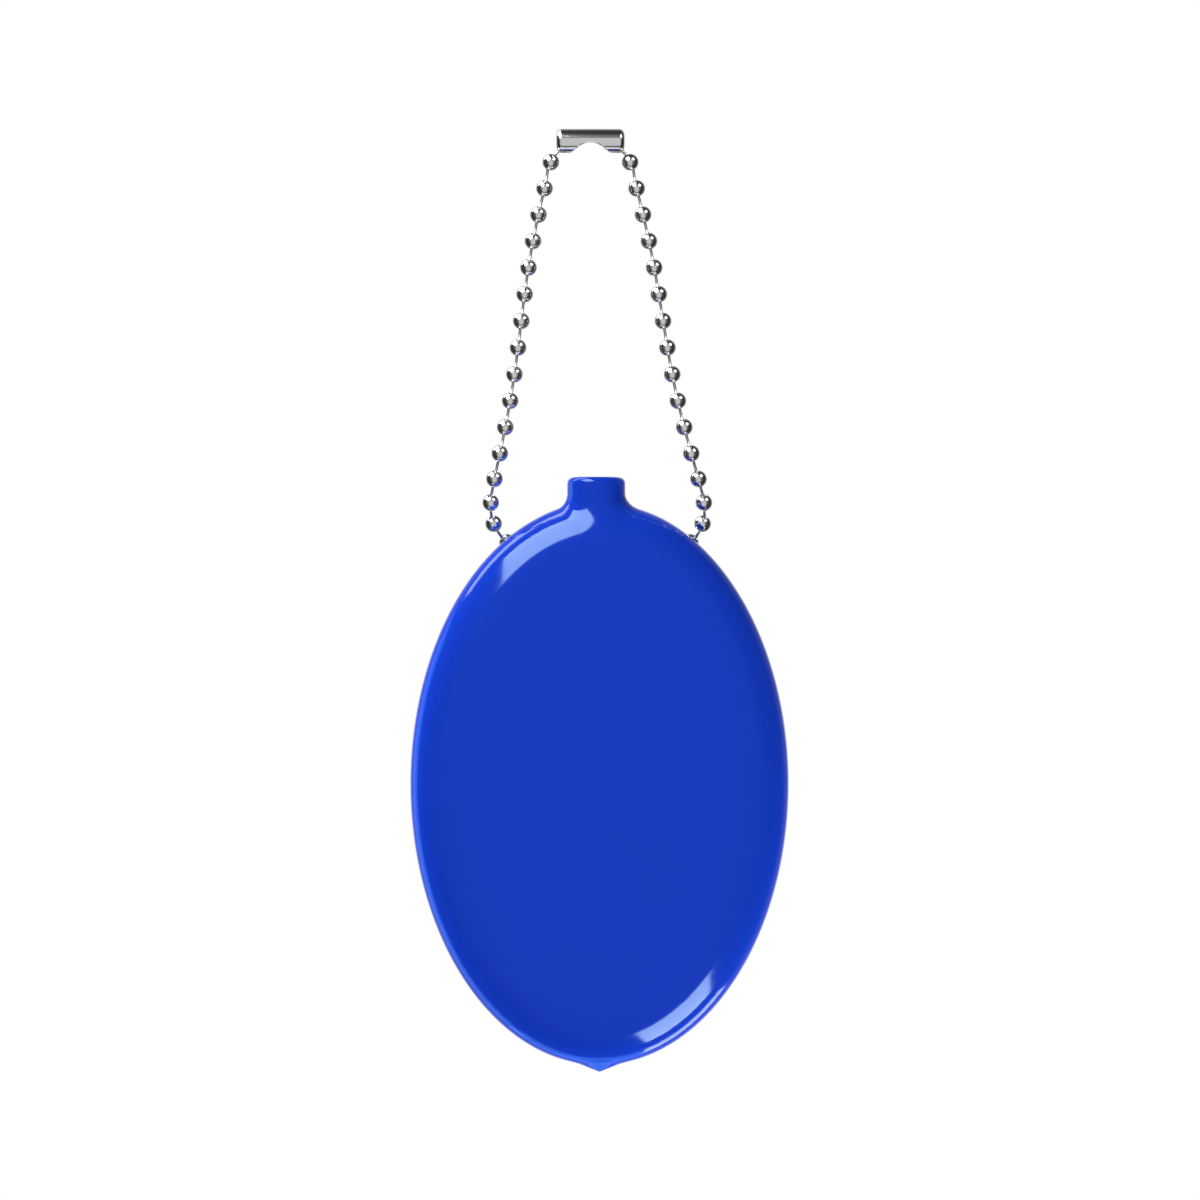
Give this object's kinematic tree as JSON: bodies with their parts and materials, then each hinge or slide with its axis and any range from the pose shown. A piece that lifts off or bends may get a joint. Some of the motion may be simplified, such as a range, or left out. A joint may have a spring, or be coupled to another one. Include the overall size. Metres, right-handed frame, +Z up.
{
  "type": "squeeze coin purse",
  "caption": "Oval squeeze coin purse with a slit back that opens as two lips, a round neck and a loop of ball chain joined by a tubular coupling.",
  "frame": {"origin": "top of the notch under the coupling at the top of the loop, where a hook bears", "axes": "+Z up as it hangs, purse below the origin; the front of the purse faces -Y and its slit +Y; +X to the right seen from the front"},
  "size_m": [0.0526, 0.0144, 0.131],
  "materials": {
    "vinyl": "glossy",
    "chain": "polished"
  },
  "bodies": {
    "coupling": {"coupling": "chain", "end_bead_left": "chain", "end_bead_right": "chain"},
    "left_01": {"bead_left_01": "chain"},
    "left_02": {"bead_left_02": "chain"},
    "left_03": {"bead_left_03": "chain"},
    "left_04": {"bead_left_04": "chain"},
    "left_05": {"bead_left_05": "chain"},
    "left_06": {"bead_left_06": "chain"},
    "left_07": {"bead_left_07": "chain"},
    "left_08": {"bead_left_08": "chain"},
    "left_09": {"bead_left_09": "chain"},
    "left_10": {"bead_left_10": "chain"},
    "left_11": {"bead_left_11": "chain"},
    "left_12": {"bead_left_12": "chain"},
    "left_13": {"bead_left_13": "chain"},
    "left_14": {"bead_left_14": "chain"},
    "left_15": {"bead_left_15": "chain"},
    "left_16": {"bead_left_16": "chain"},
    "right_01": {"bead_right_01": "chain"},
    "right_02": {"bead_right_02": "chain"},
    "right_03": {"bead_right_03": "chain"},
    "right_04": {"bead_right_04": "chain"},
    "right_05": {"bead_right_05": "chain"},
    "right_06": {"bead_right_06": "chain"},
    "right_07": {"bead_right_07": "chain"},
    "right_08": {"bead_right_08": "chain"},
    "right_09": {"bead_right_09": "chain"},
    "right_10": {"bead_right_10": "chain"},
    "right_11": {"bead_right_11": "chain"},
    "right_12": {"bead_right_12": "chain"},
    "right_13": {"bead_right_13": "chain"},
    "right_14": {"bead_right_14": "chain"},
    "right_15": {"bead_right_15": "chain"},
    "right_16": {"bead_right_16": "chain"},
    "loop_bottom": {"bead_left_17": "chain", "bead_left_18": "chain", "bead_left_19": "chain", "bead_right_17": "chain", "bead_right_18": "chain", "bead_right_19": "chain", "bead_middle": "chain"},
    "purse": {"shell": "vinyl"},
    "left_lip": {"left_lip": "vinyl"},
    "right_lip": {"right_lip": "vinyl"}
  },
  "joints": [
    {"name": "lip_left_open", "type": "hinge", "parent": "purse", "child": "left_lip", "pos_m": [-0.01475, 0.00589, -0.09102], "axis": [0, 0, 1], "range_deg": [0, 55], "stiffness_Nm_per_rad": 0.02},
    {"name": "lip_right_open", "type": "hinge", "parent": "purse", "child": "right_lip", "pos_m": [0.01725, 0.00589, -0.09102], "axis": [0, 0, -1], "range_deg": [0, 55], "stiffness_Nm_per_rad": 0.02},
    {"name": "purse_swing", "type": "hinge", "parent": "loop_bottom", "child": "purse", "pos_m": [0.00125, 0.00499, -0.05752], "axis": [1, 0, 0], "range_deg": [-8, 14]},
    {"name": "strand_bend_01", "type": "hinge", "parent": "coupling", "child": "left_01", "pos_m": [-0.00378, 0, -0.00064], "axis": [1, 0, 0], "range_deg": [-10, 10]},
    {"name": "strand_bend_02", "type": "hinge", "parent": "left_01", "child": "left_02", "pos_m": [-0.00591, 0, -0.0037], "axis": [1, 0, 0], "range_deg": [-10, 10]},
    {"name": "strand_bend_03", "type": "hinge", "parent": "left_02", "child": "left_03", "pos_m": [-0.0066, 0, -0.00741], "axis": [1, 0, 0], "range_deg": [-10, 10]},
    {"name": "strand_bend_04", "type": "hinge", "parent": "left_03", "child": "left_04", "pos_m": [-0.00743, 0, -0.01106], "axis": [1, 0, 0], "range_deg": [-10, 10]},
    {"name": "strand_bend_05", "type": "hinge", "parent": "left_04", "child": "left_05", "pos_m": [-0.00816, 0, -0.01473], "axis": [1, 0, 0], "range_deg": [-10, 10]},
    {"name": "strand_bend_06", "type": "hinge", "parent": "left_05", "child": "left_06", "pos_m": [-0.00877, 0, -0.01843], "axis": [1, 0, 0], "range_deg": [-10, 10]},
    {"name": "strand_bend_07", "type": "hinge", "parent": "left_06", "child": "left_07", "pos_m": [-0.00928, 0, -0.02213], "axis": [1, 0, 0], "range_deg": [-10, 10]},
    {"name": "strand_bend_08", "type": "hinge", "parent": "left_07", "child": "left_08", "pos_m": [-0.00973, 0, -0.02585], "axis": [1, 0, 0], "range_deg": [-10, 10]},
    {"name": "strand_bend_09", "type": "hinge", "parent": "left_08", "child": "left_09", "pos_m": [-0.01019, 0, -0.02956], "axis": [1, 0, 0], "range_deg": [-10, 10]},
    {"name": "strand_bend_10", "type": "hinge", "parent": "left_09", "child": "left_10", "pos_m": [-0.01071, 0, -0.03326], "axis": [1, 0, 0], "range_deg": [-10, 10]},
    {"name": "strand_bend_11", "type": "hinge", "parent": "left_10", "child": "left_11", "pos_m": [-0.01132, 0, -0.03694], "axis": [1, 0, 0], "range_deg": [-10, 10]},
    {"name": "strand_bend_12", "type": "hinge", "parent": "left_11", "child": "left_12", "pos_m": [-0.01202, 0, -0.04061], "axis": [1, 0, 0], "range_deg": [-10, 10]},
    {"name": "strand_bend_13", "type": "hinge", "parent": "left_12", "child": "left_13", "pos_m": [-0.01279, 0.00012, -0.04425], "axis": [1, 0, 0], "range_deg": [-8, 0]},
    {"name": "strand_bend_14", "type": "hinge", "parent": "left_13", "child": "left_14", "pos_m": [-0.01352, 0.00124, -0.04773], "axis": [1, 0, 0], "range_deg": [-8, 0]},
    {"name": "strand_bend_15", "type": "hinge", "parent": "left_14", "child": "left_15", "pos_m": [-0.01392, 0.00313, -0.05092], "axis": [1, 0, 0], "range_deg": [-8, 0]},
    {"name": "strand_bend_16", "type": "hinge", "parent": "left_15", "child": "left_16", "pos_m": [-0.01324, 0.00553, -0.05374], "axis": [1, 0, 0], "range_deg": [-8, 0]},
    {"name": "strand_bend_17", "type": "hinge", "parent": "left_16", "child": "loop_bottom", "pos_m": [-0.01092, 0.0073, -0.05617], "axis": [1, 0, 0], "range_deg": [-4, 0]},
    {"name": "right_bend_01", "type": "hinge", "parent": "coupling", "child": "right_01", "pos_m": [0.00378, 0, -0.00064], "axis": [1, 0, 0], "range_deg": [-10, 10]},
    {"name": "right_bend_02", "type": "hinge", "parent": "right_01", "child": "right_02", "pos_m": [0.00595, 0, -0.0037], "axis": [1, 0, 0], "range_deg": [-10, 10]},
    {"name": "right_bend_03", "type": "hinge", "parent": "right_02", "child": "right_03", "pos_m": [0.00668, 0, -0.00741], "axis": [1, 0, 0], "range_deg": [-10, 10]},
    {"name": "right_bend_04", "type": "hinge", "parent": "right_03", "child": "right_04", "pos_m": [0.00757, 0, -0.01106], "axis": [1, 0, 0], "range_deg": [-10, 10]},
    {"name": "right_bend_05", "type": "hinge", "parent": "right_04", "child": "right_05", "pos_m": [0.00839, 0, -0.01473], "axis": [1, 0, 0], "range_deg": [-10, 10]},
    {"name": "right_bend_06", "type": "hinge", "parent": "right_05", "child": "right_06", "pos_m": [0.00911, 0, -0.01843], "axis": [1, 0, 0], "range_deg": [-10, 10]},
    {"name": "right_bend_07", "type": "hinge", "parent": "right_06", "child": "right_07", "pos_m": [0.00975, 0, -0.02213], "axis": [1, 0, 0], "range_deg": [-10, 10]},
    {"name": "right_bend_08", "type": "hinge", "parent": "right_07", "child": "right_08", "pos_m": [0.01035, 0, -0.02585], "axis": [1, 0, 0], "range_deg": [-10, 10]},
    {"name": "right_bend_09", "type": "hinge", "parent": "right_08", "child": "right_09", "pos_m": [0.01098, 0, -0.02956], "axis": [1, 0, 0], "range_deg": [-10, 10]},
    {"name": "right_bend_10", "type": "hinge", "parent": "right_09", "child": "right_10", "pos_m": [0.01169, 0, -0.03326], "axis": [1, 0, 0], "range_deg": [-10, 10]},
    {"name": "right_bend_11", "type": "hinge", "parent": "right_10", "child": "right_11", "pos_m": [0.01251, 0, -0.03694], "axis": [1, 0, 0], "range_deg": [-10, 10]},
    {"name": "right_bend_12", "type": "hinge", "parent": "right_11", "child": "right_12", "pos_m": [0.01344, 0, -0.04061], "axis": [1, 0, 0], "range_deg": [-10, 10]},
    {"name": "right_bend_13", "type": "hinge", "parent": "right_12", "child": "right_13", "pos_m": [0.01445, 0.00012, -0.04425], "axis": [1, 0, 0], "range_deg": [-8, 0]},
    {"name": "right_bend_14", "type": "hinge", "parent": "right_13", "child": "right_14", "pos_m": [0.01542, 0.00124, -0.04773], "axis": [1, 0, 0], "range_deg": [-8, 0]},
    {"name": "right_bend_15", "type": "hinge", "parent": "right_14", "child": "right_15", "pos_m": [0.01605, 0.00313, -0.05092], "axis": [1, 0, 0], "range_deg": [-8, 0]},
    {"name": "right_bend_16", "type": "hinge", "parent": "right_15", "child": "right_16", "pos_m": [0.01558, 0.00553, -0.05374], "axis": [1, 0, 0], "range_deg": [-8, 0]}
  ],
  "couplings": [
    {"joint": "lip_right_open", "follows": "lip_left_open", "ratio": 1},
    {"joint": "right_bend_01", "follows": "strand_bend_01", "ratio": 1},
    {"joint": "right_bend_02", "follows": "strand_bend_02", "ratio": 1},
    {"joint": "right_bend_03", "follows": "strand_bend_03", "ratio": 1},
    {"joint": "right_bend_04", "follows": "strand_bend_04", "ratio": 1},
    {"joint": "right_bend_05", "follows": "strand_bend_05", "ratio": 1},
    {"joint": "right_bend_06", "follows": "strand_bend_06", "ratio": 1},
    {"joint": "right_bend_07", "follows": "strand_bend_07", "ratio": 1},
    {"joint": "right_bend_08", "follows": "strand_bend_08", "ratio": 1},
    {"joint": "right_bend_09", "follows": "strand_bend_09", "ratio": 1},
    {"joint": "right_bend_10", "follows": "strand_bend_10", "ratio": 1},
    {"joint": "right_bend_11", "follows": "strand_bend_11", "ratio": 1},
    {"joint": "right_bend_12", "follows": "strand_bend_12", "ratio": 1},
    {"joint": "right_bend_13", "follows": "strand_bend_13", "ratio": 1},
    {"joint": "right_bend_14", "follows": "strand_bend_14", "ratio": 1},
    {"joint": "right_bend_15", "follows": "strand_bend_15", "ratio": 1},
    {"joint": "right_bend_16", "follows": "strand_bend_16", "ratio": 1}
  ]
}
